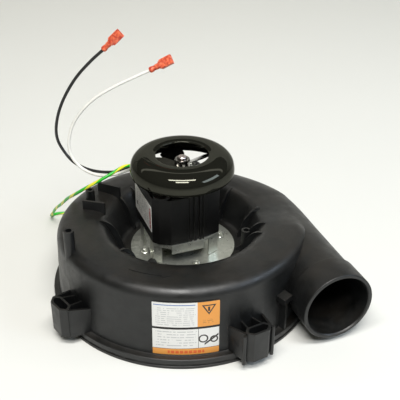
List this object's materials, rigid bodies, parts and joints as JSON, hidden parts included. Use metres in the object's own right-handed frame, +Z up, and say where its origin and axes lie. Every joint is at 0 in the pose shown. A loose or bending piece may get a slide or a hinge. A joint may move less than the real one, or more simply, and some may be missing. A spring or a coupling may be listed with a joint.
{
  "type": "combustion air inducer fan",
  "caption": "Furnace combustion fan: moulded scroll housing with side outlet, capped shaded-pole motor in its well, impeller and cooling fan on one shaft, three leads.",
  "frame": {"origin": "middle of the fan's footprint, leads left out, on the surface it lies on; the rotor axis is 1.5 mm to +X and 5.8 mm to +Y of it", "axes": "+Z up along the motor shaft, from the inlet plate to the motor's cap; -Y is the way the outlet tube blows, and +X is the side of the outlet"},
  "size_m": [0.2416, 0.2757, 0.2076],
  "materials": {
    "moulded_plastic": "fine-grained black moulded plastic, softly reflective, a little brown on the upper face",
    "impeller_plastic": "black glass-filled plastic",
    "black_rubber": "matte black",
    "zinc": "zinc plated, mottled, faintly yellow",
    "spring_steel": "blued spring steel",
    "bright_steel": "ground bright steel",
    "rotor_steel": "turned laminated steel",
    "aluminium": "bright pressed aluminium",
    "stack_black": "black varnished laminations, semi-gloss",
    "copper": "varnished copper wire, red-brown",
    "bronze": "oiled sintered bronze",
    "cap_enamel": "gloss black enamel",
    "silver_label": null,
    "side_sticker": "white and orange sticker with grey bars and plain outline symbols, no words",
    "black_insulation": "black PVC insulation",
    "white_insulation": "white PVC insulation",
    "green_insulation": "green PVC insulation with a yellow stripe",
    "red_nylon": "translucent red nylon",
    "tinned_brass": "tin plated brass"
  },
  "bodies": {
    "fan": {"scroll_housing": "moulded_plastic", "inlet_plate": "moulded_plastic", "housing_seal": "black_rubber", "cover_screw_1": "zinc", "cover_screw_2": "zinc", "cover_screw_3": "zinc", "cover_screw_4": "zinc", "plate_gasket": "black_rubber", "motor_plate": "zinc", "plate_screw_1": "zinc", "plate_screw_2": "zinc", "plate_screw_3": "zinc", "plate_screw_4": "zinc", "lower_bracket": "zinc", "stator_core": "stack_black", "lower_winding": "copper", "upper_winding": "copper", "upper_bracket": "stack_black", "lower_bearing": "bronze", "upper_bearing": "bronze", "motor_bolt_1": "zinc", "motor_bolt_2": "zinc", "motor_bolt_3": "zinc", "motor_bolt_4": "zinc", "motor_cap": "cap_enamel", "motor_label": "silver_label", "upper_side_label": "side_sticker", "lower_side_label": "side_sticker", "lead_grommet": "black_rubber", "black_lead": "black_insulation", "white_lead": "white_insulation", "ground_lead": "green_insulation", "black_terminal_sleeve": "red_nylon", "black_terminal_receptacle": "tinned_brass", "white_terminal_sleeve": "red_nylon", "white_terminal_receptacle": "tinned_brass", "ground_ring_terminal": "tinned_brass"},
    "rotor": {"rotor_shaft": "bright_steel", "rotor_core": "rotor_steel", "impeller": "impeller_plastic", "impeller_clip": "spring_steel", "heat_slinger": "aluminium", "cooling_fan": "aluminium"}
  },
  "joints": [
    {"name": "rotor_spin", "type": "hinge", "parent": "fan", "child": "rotor", "pos_m": [0.00146, 0.00577, 0.08], "axis": [0, 0, 1], "continuous": true}
  ]
}
